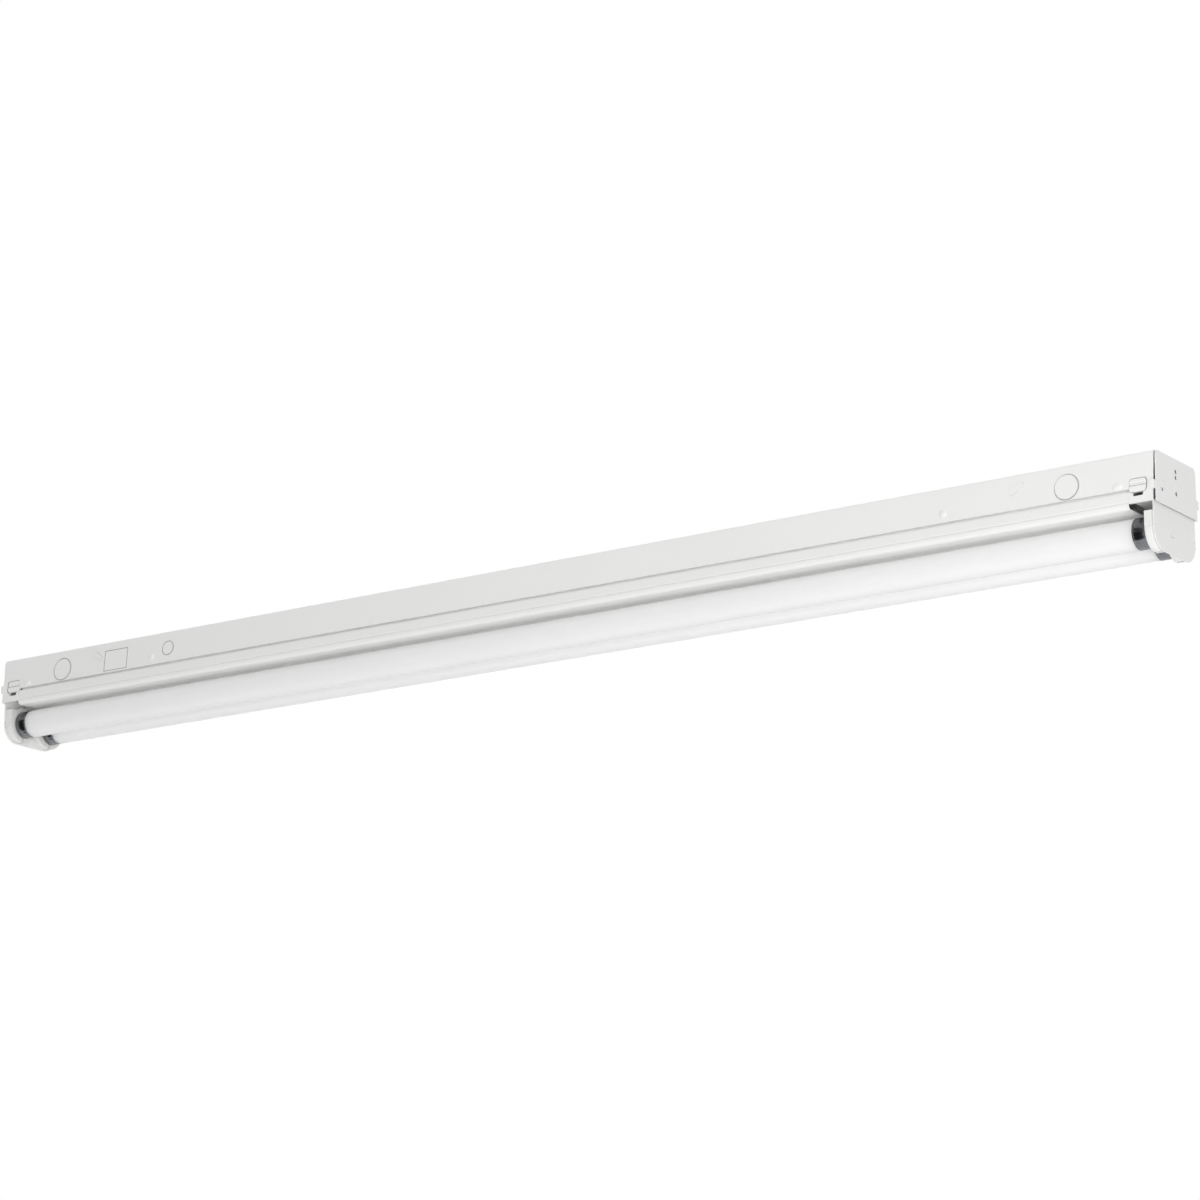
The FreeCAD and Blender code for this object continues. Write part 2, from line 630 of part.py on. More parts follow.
# ---- ballast and wiring --------------------------------------------------------------------
def ballast():
    """Electronic ballast: mounting plate, case, two screws with nuts outside its ends."""
    plate_z = -gauge * 1.5
    plate = block(0, 0, plate_z, ballast_length, ballast_width - 8, gauge)
    holes = [rod("z", end * (ballast_length / 2 - 5.5), 0, plate_z, 2.3, 4.0) for end in (-1, 1)]
    keep("ballast_plate", cut(plate, *holes))
    case_length = ballast_length - 22
    low = gauge * 2
    case = prism([(-ballast_width / 2, -low), (ballast_width / 2, -low),
                  (ballast_width / 2, -low - ballast_height), (-ballast_width / 2, -low - ballast_height)],
                 -case_length / 2, case_length, [((2, 3), 2.0)])
    ports = [block(end * case_length / 2, 0, -low - 14.0, 8.0, 16.0, 5.0) for end in (-1, 1)]
    keep("ballast_case", cut(case, *ports))
    bushes = [block(end * (case_length / 2 - 1.9), 0, -low - 14.0, 4.0, 15.4, 4.4) for end in (-1, 1)]
    drilled = []
    for end, bush in zip((-1, 1), bushes):
        passages = [rod("x", end * case_length / 2, offset, -low - 14.0, lead_diameter / 2 + 0.05, 12.0)
                    for offset in LEAD_OFFSETS[end]]
        drilled.append(cut(bush, *passages))
    keep("ballast_bushes", group(*drilled))
    screws = []
    for end in (-1, 1):
        x = end * (ballast_length / 2 - 5.5)
        head = rod("z", x, 0, -gauge * 2 - 1.2, 4.0, 2.4)
        shank = rod("z", x, 0, -gauge * 2 + 0.7, 2.1, 1.6)
        slot = block(x, 0, -gauge * 2 - 2.4, 9.0, 1.2, 1.6)
        screws.append(cut(fuse(head, shank), slot))
    keep("ballast_screws", group(*screws))


LEAD_OFFSETS = {-1: (-6.0, 6.0), 1: (-6.0, -2.0, 2.0, 6.0)}


def lead_path(points, radii):
    """Straight runs joined by tangent arcs."""
    edges = []
    start = points[0]
    for index in range(1, len(points) - 1):
        corner = points[index]
        before = (points[index - 1] - corner).normalize()
        after = (points[index + 1] - corner).normalize()
        half_turn = (math.pi - before.getAngle(after)) / 2
        reach = radii[index - 1] * math.tan(half_turn)
        first = corner + before * reach
        last = corner + after * reach
        bisector = (before + after).normalize()
        middle = corner + bisector * (radii[index - 1] / math.cos(half_turn) - radii[index - 1])
        edges.append(Part.LineSegment(start, first).toShape())
        edges.append(Part.Arc(first, middle, last).toShape())
        start = last
    edges.append(Part.LineSegment(start, points[-1]).toShape())
    return Part.Wire(edges)


def lead(name, points, radii):
    """One insulated lead swept along its route."""
    path = lead_path(points, radii)
    direction = (points[1] - points[0]).normalize()
    ring = Part.Wire(Part.makeCircle(lead_diameter.value / 2, points[0], direction))
    tube = path.makePipeShell([ring], True, False)
    expected = path.Length * math.pi * (lead_diameter.value / 2) ** 2
    print("%s: length %.0f, smallest bend %.0f, volume ratio %.4f" % (name, path.Length, min(radii), tube.Volume / expected))
    feature = doc.addObject("Part::Feature", name)
    feature.Shape = tube
    return keep(name, feature)


def lamp_lead(end, side, name):
    """From the ballast, down to the cover, along it, over the bracket's shelf and down into a lampholder."""
    port_x = (plate_back - 5.4).value
    port_y = side * (holder_y - 6.0).value
    case_end = (ballast_length / 2 - 11).value - 3.0
    exit_z = -(gauge * 2 + 14.0).value
    floor_z = (-cover_depth + gauge + lead_diameter / 2).value + 0.05
    exit_y = side * 6.0
    over_z = -(shelf_top - 7.6).value
    bend = lead_bend.value
    points = [
        Vector(end * case_end, exit_y, exit_z), Vector(end * (case_end + 30), exit_y, exit_z),
        Vector(end * (case_end + 90), side * 24.0, floor_z), Vector(end * (port_x - 80), side * 24.0, floor_z),
        Vector(end * (port_x - 40), port_y, over_z), Vector(end * port_x, port_y, over_z),
        Vector(end * port_x, port_y, -holder_top.value - 3.5),
    ]
    return lead(name, points, [30.0, 40.0, 40.0, 30.0, bend])


def supply_lead(side, name):
    """Supply lead: from the ballast's right end down to a wire connector lying on the cover."""
    case_end = (ballast_length / 2 - 11).value - 3.0
    exit_z = -(gauge * 2 + 14.0).value
    axis_z = (-cover_depth + gauge + CONNECTOR_RADIUS).value + 0.05
    points = [
        Vector(case_end, side * 2.0, exit_z), Vector(case_end + 25, side * 2.0, exit_z),
        Vector(case_end + 75, side * 8.0, axis_z), Vector(case_end + 145, side * 8.0, axis_z),
    ]
    return lead(name, points, [30.0, 30.0])


CONNECTOR_RADIUS = as_size(5.0)


def wire_connectors():
    """Two twist-on connectors over the supply leads' ends."""
    axis_z = -cover_depth + gauge + CONNECTOR_RADIUS + 0.05
    x = ballast_length / 2 - 14 + 145 - 11
    caps = []
    for side in (-1, 1):
        skirt = rod("x", x + 4.0, side * 8.0, axis_z, CONNECTOR_RADIUS, 8.0)
        body = cone("x", x + 8.0, side * 8.0, axis_z, 4.4, 2.8, 15.0)
        bore = rod("x", x + 5.4, side * 8.0, axis_z, lead_diameter / 2 + 0.05, 12.0)
        caps.append(cut(fuse(skirt, body), bore))
    return keep("wire_connectors", group(*caps))


def ground():
    """Ground screw in the channel's back, and its lead to the end of the ballast's plate."""
    x = as_size(ground_x)
    head = rod("z", x, 0, -gauge - 1.6, 4.4, 3.2)
    shank = rod("z", x, 0, -gauge / 2 - 0.1, 1.87, gauge)
    slot = block(x, 0, -gauge - 3.2, 10.0, 1.2, 1.6)
    keep("ground_screw", cut(fuse(head, shank), slot))
    level = -(gauge.value + lead_diameter.value / 2 + 0.1)
    points = [
        Vector(ground_x, 4.5, level), Vector(ground_x, 22.0, level),
        Vector((ballast_length / 2).value - 8.0, 22.0, level),
    ]
    lead("ground_lead", points, [12.0])


channel_housing()
for end, word in ((-1, "left"), (1, "right")):
    end_plate(end, "end_plate_" + word)
    socket_plate(end, "socket_plate_" + word)
    cover_latch(end, "cover_latch_" + word)
    for side, place_word in ((-1, "front"), (1, "rear")):
        tail = "%s_%s" % (place_word, word)
        lampholder_body(end, side, "lampholder_" + tail)
        lampholder_rotor(end, side, "rotor_" + tail)
        lampholder_contacts(end, side, "contacts_" + tail)
        lamp_lead(end, side, "lead_" + tail)
wireway_cover()
lamp(-1, "lamp_front")
lamp(1, "lamp_rear")
ballast()
supply_lead(-1, "supply_lead_black")
supply_lead(1, "supply_lead_white")
wire_connectors()
ground()

# ---- check and write -----------------------------------------------------------------------
doc.recompute()
for thing in doc.Objects:
    if "Invalid" in thing.State or "Error" in thing.State:
        raise RuntimeError("%s (%s) did not build: %s" % (thing.Name, thing.Label, thing.State))
for node in nodes:
    if node.Shape.isNull() or not node.Shape.isValid():
        raise RuntimeError(node.Label + " has no valid shape")
os.makedirs("parts", exist_ok=True)
for node in nodes:
    node.Shape.exportStep("parts/%s.step" % node.Label)
    print("%-24s solids %d volume %.1f" % (node.Label, len(node.Shape.Solids), node.Shape.Volume))
print(len(nodes), "sub-parts")
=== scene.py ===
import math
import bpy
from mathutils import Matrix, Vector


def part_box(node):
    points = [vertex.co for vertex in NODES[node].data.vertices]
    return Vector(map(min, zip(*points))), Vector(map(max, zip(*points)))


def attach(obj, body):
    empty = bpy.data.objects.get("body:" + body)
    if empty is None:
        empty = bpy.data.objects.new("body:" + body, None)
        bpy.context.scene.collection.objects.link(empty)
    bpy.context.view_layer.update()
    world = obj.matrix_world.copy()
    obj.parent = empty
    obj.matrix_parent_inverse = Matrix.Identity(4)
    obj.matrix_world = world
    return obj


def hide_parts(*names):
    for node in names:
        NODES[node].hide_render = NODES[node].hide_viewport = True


bl_info = {
    "name": "Strip light finishing",
    "version": (1, 0, 0),
    "blender": (4, 5, 0),
    "location": "View3D > Sidebar > Strip light",
    "description": "Finishes, lamp bases, pins and studio for a two-tube strip light",
    "category": "Object",
}

import bmesh
import bpy
from bpy.props import (FloatProperty, FloatVectorProperty, IntProperty, PointerProperty,
                       StringProperty)
from mathutils import Matrix, Vector

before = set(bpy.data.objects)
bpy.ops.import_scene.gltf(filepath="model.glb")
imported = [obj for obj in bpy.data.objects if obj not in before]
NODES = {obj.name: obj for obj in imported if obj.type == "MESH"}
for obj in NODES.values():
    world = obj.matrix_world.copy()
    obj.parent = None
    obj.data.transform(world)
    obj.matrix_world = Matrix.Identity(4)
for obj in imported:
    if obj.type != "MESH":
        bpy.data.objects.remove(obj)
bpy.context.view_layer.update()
MM = 0.001


# ---- sizes read from the frame -------------------------------------------------------------
def middle_of(node):
    """The middle of a CAD node's box."""
    low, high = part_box(node)
    return (Vector(low) + Vector(high)) / 2


def size_of(node):
    """The three extents of a CAD node's box."""
    low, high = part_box(node)
    return Vector(high) - Vector(low)


TUBE_RADIUS = size_of("lamp_front_tube").z / 2
BASE_LENGTH = size_of("lamp_front_cap_right").x
PIN_RADIUS = size_of("lamp_front_pins").z / 2

# ---- sizes of the modelled pieces ----------------------------------------------------------
ROUND_SIDES = 96  # round a tube or a base
PIN_SIDES = 24
SMOOTH_ANGLE = math.radians(35)  # edges turn crisp above this
BREAK_ANGLE = math.radians(40)  # edges of a CAD node are broken above this
WELD_DISTANCE = 0.002 * MM

# the glass: its neck sits inside the base's sheet, and its end is drawn in round
NECK_STEP = 0.4 * MM
NECK_BEHIND_LIP = 2.0 * MM
SHOULDER_RUN = 0.05 * MM
GLASS_END = ((0.0, 3.0), (0.5, 1.3), (1.6, 0.35), (3.0, 0.0))  # mm along, mm in from the neck
BODY_PARTS = 12  # lengths that the straight body is divided into

# the base, from the glass to the face
BASE_WALL = 0.35 * MM
FACE_OPENING = 8.75 * MM  # radius of the opening for the insulator
LIP_AND_BEAD = ((0.0, 0.12), (0.25, 0.0), (0.9, 0.0), (1.3, 0.22), (1.9, 0.22),
                (2.3, 0.02))  # mm along, mm in from the glass tube's radius
RIM_GROOVE = ((1.9, 0.02), (1.6, 0.18), (1.2, 0.18), (1.0, 0.02))  # shoulders back, mm in
RIM_TURNS = (20, 40, 60, 80, 90)  # degrees round the shoulder
SKIRT_IN = 0.02 * MM
INSIDE_TAPER = 0.2 * MM
INSIDE_START = 0.05 * MM
CRIMP_PLACE = 4.4 * MM  # from the glass's side of the base
CRIMP_REACH = 2.6 * MM
CRIMP_SKIN = 0.3 * MM  # only what lies this near the outside is pressed in
CRIMP_SHARE = 0.09  # half a crimp, as a share of the way to the next one
CRIMP_DEPTH = 0.25 * MM

# the pins, from inside the insulator to the tip
PIN_RUN = 8.5 * MM
PIN_TIP = ((1.0, 0.0), (0.4, 0.35), (0.0, 1.0))  # roundings back from the tip, roundings in

# ---- the studio, in metres and watts -------------------------------------------------------
FLOOR_SIZE = 80
FLOOR_PLACE = (0, 0, -3.6)
KEY_TARGET = (0.5, 0, -0.03)
KEY_SIZE = 1.8
SOFT_BOXES = (  # name, place, target, side, power
    ("low_box", (1.5, -1.0, -1.6), (0.4, 0, -0.05), 1.6, 7.0),
    ("back_box", (-1.4, 2.5, 1.0), (0, 0, -0.02), 2.4, 32.0),
    ("top_box", (0.4, 0.5, 3.0), (0, 0, 0), 2.6, 34.0),
)
FLAG_PLACE = (-1.1, -2.4, -0.9)
FLAG_FACING = (1.7, 2.4, 0.8)
FLAG_SIDES = (3.6, 4.2)
CAMERA_PLACE = (1.8455, -2.5497, -0.8415)
CAMERA_YAW = math.radians(34.99)
CAMERA_PITCH = math.radians(14.578)
CAMERA_FOCAL = 3716.9  # in pixels of the square picture
CAMERA_SIDE = 1200.0  # the picture's side, in pixels
CAMERA_SENSOR = 36.0  # mm
CAMERA_REACH = 100.0


# ---- colours and node helpers --------------------------------------------------------------
def linear(hex_code):
    """An sRGB hex colour as linear RGBA."""
    values = []
    for start in (0, 2, 4):
        c = int(hex_code[start:start + 2], 16) / 255
        values.append(c / 12.92 if c <= 0.04045 else ((c + 0.055) / 1.055) ** 2.4)
    return (*values, 1.0)


def add_node(tree, kind, settings=None, links=None):
    """Adds a node: settings are inputs or .attributes, links are input -> (node, output)."""
    node = tree.nodes.new(kind)
    for key, value in (settings or {}).items():
        if isinstance(key, str) and key.startswith("."):
            setattr(node, key[1:], value)
        else:
            node.inputs[key].default_value = value
    for key, (other, output) in (links or {}).items():
        tree.links.new(other.outputs[output], node.inputs[key])
    return node


def new_material(name):
    """An empty node material with its shader, output and object coordinates."""
    material = bpy.data.materials.new(name)
    material.use_nodes = True
    tree = material.node_tree
    tree.nodes.clear()
    shader = add_node(tree, "ShaderNodeBsdfPrincipled")
    add_node(tree, "ShaderNodeOutputMaterial", links={"Surface": (shader, "BSDF")})
    place = add_node(tree, "ShaderNodeTexCoord")
    return material, tree, shader, place


def tune(shader, settings):
    """Sets a material's shader, socket by socket."""
    for socket, value in settings.items():
        shader.inputs[socket].default_value = value


def show_instead(tree, node):
    """Sends a mixed shader to the material's output in place of the plain one."""
    output = next(other for other in tree.nodes if other.type == "OUTPUT_MATERIAL")
    tree.links.new(node.outputs[0], output.inputs["Surface"])


def shade_between(tree, shader, factor, light, dark):
    """Colours a surface between two close shades by a pattern."""
    ramp = add_node(tree, "ShaderNodeMix",
                    {".data_type": "RGBA", "A": linear(dark), "B": linear(light)},
                    {"Factor": factor})
    tree.links.new(ramp.outputs["Result"], shader.inputs["Base Color"])
    return ramp


def grain(tree, place, size_mm, detail=2.0, stretch=(1, 1, 1)):
    """Noise whose features are about size_mm across."""
    scale = 1.0 / (size_mm * MM)
    fit = add_node(tree, "ShaderNodeMapping", {"Scale": stretch}, {"Vector": (place, "Object")})
    return add_node(tree, "ShaderNodeTexNoise", {"Scale": scale, "Detail": detail},
                    {"Vector": (fit, "Vector")})


def dents(tree, shader, pattern, depth_mm):
    """Turns a pattern into surface relief of a real depth."""
    bump = add_node(tree, "ShaderNodeBump", {"Strength": 1.0, "Distance": depth_mm * MM},
                    {"Height": (pattern, "Fac")})
    tree.links.new(bump.outputs["Normal"], shader.inputs["Normal"])


# ---- finishes ------------------------------------------------------------------------------
def baked_white_enamel():
    """Baked white enamel on cold-rolled sheet: an even, half-gloss white with faint orange peel."""
    material, tree, shader, place = new_material("baked_white_enamel")
    look = bpy.context.scene.strip_light_colours
    cloud = grain(tree, place, 90.0, 3.0)
    clean = shade_between(tree, shader, (cloud, "Fac"), look.enamel_light, look.enamel_dark)
    # painted shade: the enamel is drawn grey in sheared lines and inside corners, within 1.4 mm,
    # where shade falls
    corner_occlusion = add_node(tree, "ShaderNodeAmbientOcclusion",
                    {".samples": 8, ".only_local": True, "Distance": 1.4 * MM})
    shading = add_node(tree, "ShaderNodeMapRange",
                     {"From Min": 0.25, "From Max": 0.8, "To Min": 0.0, "To Max": 1.0},
                     {"Value": (corner_occlusion, "AO")})
    painted_shade = add_node(tree, "ShaderNodeMix", {".data_type": "RGBA", "A": linear(look.enamel_painted_shade)},
                    {"Factor": (shading, "Result"), "B": (clean, "Result")})
    tree.links.new(painted_shade.outputs["Result"], shader.inputs["Base Color"])
    # orange peel is about 1.5 mm across; drawn at 2.5 mm so that it shows at all
    peel = grain(tree, place, 2.5, 2.0)
    dents(tree, shader, peel, 0.012)
    tune(shader, {"Roughness": 0.38, "IOR": 1.5})
    return material


def moulded_white_holder():
    """Moulded urea plastic: dense, slightly warm white with a satin skin from the mould."""
    material, tree, shader, place = new_material("moulded_white_urea")
    cloud = grain(tree, place, 12.0, 2.0)
    shade_between(tree, shader, (cloud, "Fac"), "F6F6F4", "EDEDEA")
    skin = grain(tree, place, 0.8, 2.0)
    dents(tree, shader, skin, 0.01)
    tune(shader, {"Roughness": 0.34, "IOR": 1.54})
    return material


def moulded_white_rotor():
    """Moulded polyester: the rotor's cooler, duller white."""
    material, tree, shader, place = new_material("moulded_white_polyester")
    cloud = grain(tree, place, 6.0, 2.0)
    shade_between(tree, shader, (cloud, "Fac"), "EAEBEA", "DCDDDC")
    tune(shader, {"Roughness": 0.5, "IOR": 1.55})
    return material


def phosphor_under_glass():
    """White phosphor powder inside soda-lime glass: chalky white body under a thin clear gloss."""
    material, tree, shader, place = new_material("phosphor_coated_glass")
    powder = grain(tree, place, 30.0, 3.0, (0.2, 1, 1))
    shade_between(tree, shader, (powder, "Fac"), "F7F8F7", "F3F4F3")
    # light goes through the powder and the hollow tube, so the side away from it stays pale
    tune(shader, {"Subsurface Weight": 0.85, "Subsurface Radius": (1.0, 1.0, 1.0),
                  "Subsurface Scale": 16.0 * MM, "Roughness": 0.45, "IOR": 1.5})
    # the glass's own gloss
    tune(shader, {"Coat Weight": 0.5, "Coat Roughness": 0.06, "Coat IOR": 1.5})
    # the coated tube passes part of the light that falls on it: a weak shadow on the cover
    path = add_node(tree, "ShaderNodeLightPath")
    share = add_node(tree, "ShaderNodeMath", {".operation": "MULTIPLY", 1: 0.9},
                     {0: (path, "Is Shadow Ray")})
    clear = add_node(tree, "ShaderNodeBsdfTransparent")
    both = add_node(tree, "ShaderNodeMixShader",
                    links={0: (share, 0), 1: (shader, 0), 2: (clear, 0)})
    show_instead(tree, both)
    return material


def drawn_aluminium():
    """Deep-drawn bright aluminium: grey mirror broken by fine rings from the drawing die."""
    material, tree, shader, place = new_material("deep_drawn_aluminium")
    # die lines run round the base, about 0.4 mm apart along its length
    rings = grain(tree, place, 0.4, 2.0, (1, 0.02, 0.02))
    shade_between(tree, shader, (rings, "Fac"), "8E8F92", "55575A")
    dents(tree, shader, rings, 0.008)
    tune(shader, {"Metallic": 1.0, "Roughness": 0.24})
    return material


def drawn_brass(name="drawn_brass", light="D9BD7C", dark="B9974F", rough=0.3):
    """Drawn brass: warm yellow metal with lengthwise draw marks."""
    material, tree, shader, place = new_material(name)
    marks = grain(tree, place, 0.3, 2.0, (0.1, 1, 1))
    shade_between(tree, shader, (marks, "Fac"), light, dark)
    tune(shader, {"Metallic": 1.0, "Roughness": rough})
    return material


def zinc_plated_steel():
    """Clear zinc on steel: cool grey with a faint spangle."""
    material, tree, shader, place = new_material("zinc_plated_steel")
    # the spangle's flowers are about 3 mm across
    spangle = add_node(tree, "ShaderNodeTexVoronoi", {"Scale": 1.0 / (3.0 * MM)},
                       {"Vector": (place, "Object")})
    shade_between(tree, shader, (spangle, "Distance"), "C9CCCE", "A9ADB0")
    tune(shader, {"Metallic": 1.0, "Roughness": 0.4})
    return material


def pressed_fibre():
    """Pressed phenolic fibre: brown board with a felted surface."""
    material, tree, shader, place = new_material("pressed_phenolic_fibre")
    fibres = grain(tree, place, 0.7, 4.0)
    shade_between(tree, shader, (fibres, "Fac"), "8A6038", "6E4A29")
    dents(tree, shader, fibres, 0.05)
    tune(shader, {"Roughness": 0.6})
    return material


def pressed_stem_glass():
    """Pressed lead glass of the lamp's stem: clear, slightly grey."""
    material, tree, shader, place = new_material("pressed_lead_glass")
    swirl = grain(tree, place, 4.0, 2.0)
    shade_between(tree, shader, (swirl, "Fac"), "E6ECEA", "D3DBD9")
    tune(shader, {"Roughness": 0.08, "Transmission Weight": 0.7, "IOR": 1.56})
    return material


def soft_insulation(name, light, dark):
    """Extruded vinyl insulation: even colour with faint lengthwise draw lines."""
    material, tree, shader, place = new_material(name)
    lines = grain(tree, place, 0.5, 2.0, (0.05, 1, 1))
    shade_between(tree, shader, (lines, "Fac"), light, dark)
    tune(shader, {"Roughness": 0.45, "IOR": 1.53})
    return material


def moulded_connector():
    """Moulded polypropylene twist-on connector with fine grip flutes."""
    material, tree, shader, place = new_material("moulded_polypropylene")
    flutes = grain(tree, place, 0.8, 1.0, (0.05, 1, 1))
    shade_between(tree, shader, (flutes, "Fac"), "E2761F", "C9620F")
    dents(tree, shader, flutes, 0.1)
    tune(shader, {"Roughness": 0.5})
    return material


def satin_ballast_paint():
    """Thin satin white on pressed steel, a little duller than the fixture's enamel."""
    material, tree, shader, place = new_material("satin_white_stove_paint")
    cloud = grain(tree, place, 25.0, 3.0)
    shade_between(tree, shader, (cloud, "Fac"), "E4E5E3", "D8D9D7")
    tune(shader, {"Roughness": 0.5})
    return material


def green_lacquer():
    """Green lacquer over plated steel, as on earth screws."""
    material, tree, shader, place = new_material("green_lacquered_steel")
    cloud = grain(tree, place, 1.5, 2.0)
    shade_between(tree, shader, (cloud, "Fac"), "1F8A3E", "156B2E")
    tune(shader, {"Roughness": 0.3})
    return material


def dress(nodes, material):
    """Gives CAD nodes their finish."""
    for name in nodes:
        node = NODES[name]
        node.data.materials.clear()
        node.data.materials.append(material)


def soften(nodes, width_mm):
    """Breaks the sharp edges of CAD nodes with a small live bevel."""
    for name in nodes:
        weld = NODES[name].modifiers.new("weld", "WELD")
        weld.merge_threshold = WELD_DISTANCE
        bevel = NODES[name].modifiers.new("edge_break", "BEVEL")
        bevel.width = width_mm * MM
        bevel.segments = 2
        bevel.limit_method = "ANGLE"
        bevel.angle_limit = BREAK_ANGLE
        bevel.harden_normals = True


# ---- modelling helpers ---------------------------------------------------------------------
def clear_selection():
    """Leaves edit mode and deselects everything."""
    if bpy.context.object and bpy.context.object.mode != "OBJECT":
        bpy.ops.object.mode_set(mode="OBJECT")
    bpy.ops.object.select_all(action="DESELECT")


def turned(name, centre, sections, sides):
    """A piece turned about an X axis: a disc, extruded and resized to each (x, radius)."""
    clear_selection()
    start_x, start_radius = sections[0]
    bpy.ops.mesh.primitive_circle_add(vertices=sides, radius=start_radius, fill_type="NGON",
                                      location=(start_x, centre[1], centre[2]),
                                      rotation=(0, math.radians(90), 0))
    piece = bpy.context.object
    piece.name = name
    bpy.ops.object.transform_apply(location=True, rotation=True, scale=True)
    bpy.ops.object.mode_set(mode="EDIT")
    bpy.ops.mesh.select_mode(type="FACE")
    bpy.ops.mesh.select_all(action="SELECT")
    here_x, here_radius = start_x, start_radius
    for x, radius in sections[1:]:
        bpy.ops.mesh.extrude_region_move(TRANSFORM_OT_translate={"value": (x - here_x, 0, 0)})
        ratio = radius / here_radius
        bpy.ops.transform.resize(value=(1, ratio, ratio),
                                 center_override=(x, centre[1], centre[2]))
        here_x, here_radius = x, radius
    bpy.ops.mesh.select_all(action="SELECT")
    bpy.ops.mesh.normals_make_consistent(inside=False)
    bpy.ops.object.mode_set(mode="OBJECT")
    bpy.ops.object.shade_smooth_by_angle(angle=SMOOTH_ANGLE)
    return piece


def joined(name, pieces):
    """Joins pieces into one object."""
    clear_selection()
    for piece in pieces:
        piece.select_set(True)
    bpy.context.view_layer.objects.active = pieces[0]
    bpy.ops.object.join()
    bpy.context.object.name = name
    return bpy.context.object


# ---- properties ----------------------------------------------------------------------------
class StripLightSizes(bpy.types.PropertyGroup):
    """Sizes of the pieces modelled here."""
    crimp_count: IntProperty(
        name="Crimps", description="Dents that hold each lamp base to its glass", default=8, min=4)
    shoulder: FloatProperty(
        name="Base shoulder", description="Rounding of a lamp base's rim", default=1.1 * MM,
        unit="LENGTH")
    pin_round: FloatProperty(
        name="Pin rounding", description="Rounding of a pin's tip", default=0.5 * MM,
        unit="LENGTH")
    holder_edge: FloatProperty(
        name="Lampholder edge", description="Edge break of the lampholders, in millimetres",
        default=0.45)


class StripLightColours(bpy.types.PropertyGroup):
    """Shades of the enamel, as hex text."""
    enamel_light: StringProperty(
        name="Enamel, light", description="sRGB hex", default="F7F7F6")
    enamel_dark: StringProperty(
        name="Enamel, dark", description="sRGB hex", default="F3F3F2")
    # painted shade: the grey drawn into the enamel's grooves and inside corners
    enamel_painted_shade: StringProperty(
        name="Enamel, dusty", description="sRGB hex in grooves", default="8C8C8A")


class StripLightStage(bpy.types.PropertyGroup):
    """Studio light."""
    fill: FloatProperty(
        name="Fill", description="Strength of the even studio light", default=0.54)
    floor_lift: FloatProperty(
        name="Floor lift", description="How much whiter the camera sees the floor", default=0.45)
    key: FloatProperty(
        name="Key", description="Power of the soft box at the near end", default=38.0,
        unit="POWER")
    key_place: FloatVectorProperty(
        name="Key place", description="Where the key soft box stands",
        default=(2.0, -2.3, -0.75), subtype="TRANSLATION", unit="LENGTH")


# ---- operators -----------------------------------------------------------------------------
def cad_names(*starts):
    """CAD node names that start with one of these words."""
    return [name for name in sorted(NODES) if name.startswith(starts)]


class FinishSheetMetal(bpy.types.Operator):
    """Enamels the channel, end plates, brackets, cover and latches"""
    bl_idname = "strip_light.sheet_metal"
    bl_label = "Sheet metal"

    def execute(self, context):
        enamel = baked_white_enamel()
        dress(cad_names("channel_housing", "end_plate", "socket_plate", "wireway_cover",
                        "cover_latch"), enamel)
        return {"FINISHED"}


class FinishLampholders(bpy.types.Operator):
    """Finishes the lampholders, their rotors and contacts"""
    bl_idname = "strip_light.lampholders"
    bl_label = "Lampholders"

    def execute(self, context):
        holders = cad_names("lampholder")
        dress(holders, moulded_white_holder())
        soften(holders, context.scene.strip_light_sizes.holder_edge)
        dress(cad_names("rotor"), moulded_white_rotor())
        dress(cad_names("contacts"), drawn_brass())
        return {"FINISHED"}


class BuildTubes(bpy.types.Operator):
    """Models the glass tubes with their necks and round ends, and finishes what is inside them"""
    bl_idname = "strip_light.tubes"
    bl_label = "Tubes"

    def execute(self, context):
        glass = phosphor_under_glass()
        for lamp in ("front", "rear"):
            node = "lamp_%s_tube" % lamp
            piece = self.tube(node)
            piece.data.materials.append(glass)
            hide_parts(node)
            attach(piece, "lamp_" + lamp)
        dress(["lamp_front_electrodes", "lamp_rear_electrodes"], pressed_stem_glass())
        dress(["lamp_front_insulators", "lamp_rear_insulators"], pressed_fibre())
        return {"FINISHED"}

    def tube(self, node):
        """One tube, closed: round end, neck inside the base, shoulder, and the straight body."""
        low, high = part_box(node)
        neck = TUBE_RADIUS - NECK_STEP
        inside = BASE_LENGTH - NECK_BEHIND_LIP
        half = [(along * MM, neck - less * MM) for along, less in GLASS_END]
        half += [(inside, neck), (inside + SHOULDER_RUN, TUBE_RADIUS)]
        sections = [(low[0] + distance, radius) for distance, radius in half]
        body_start = low[0] + half[-1][0]
        length = high[0] - low[0] - 2 * half[-1][0]
        sections += [(body_start + length * part / BODY_PARTS, TUBE_RADIUS)
                     for part in range(1, BODY_PARTS)]
        sections += [(high[0] - distance, radius) for distance, radius in reversed(half)]
        return turned(node + "_glass", middle_of(node), sections, ROUND_SIDES)


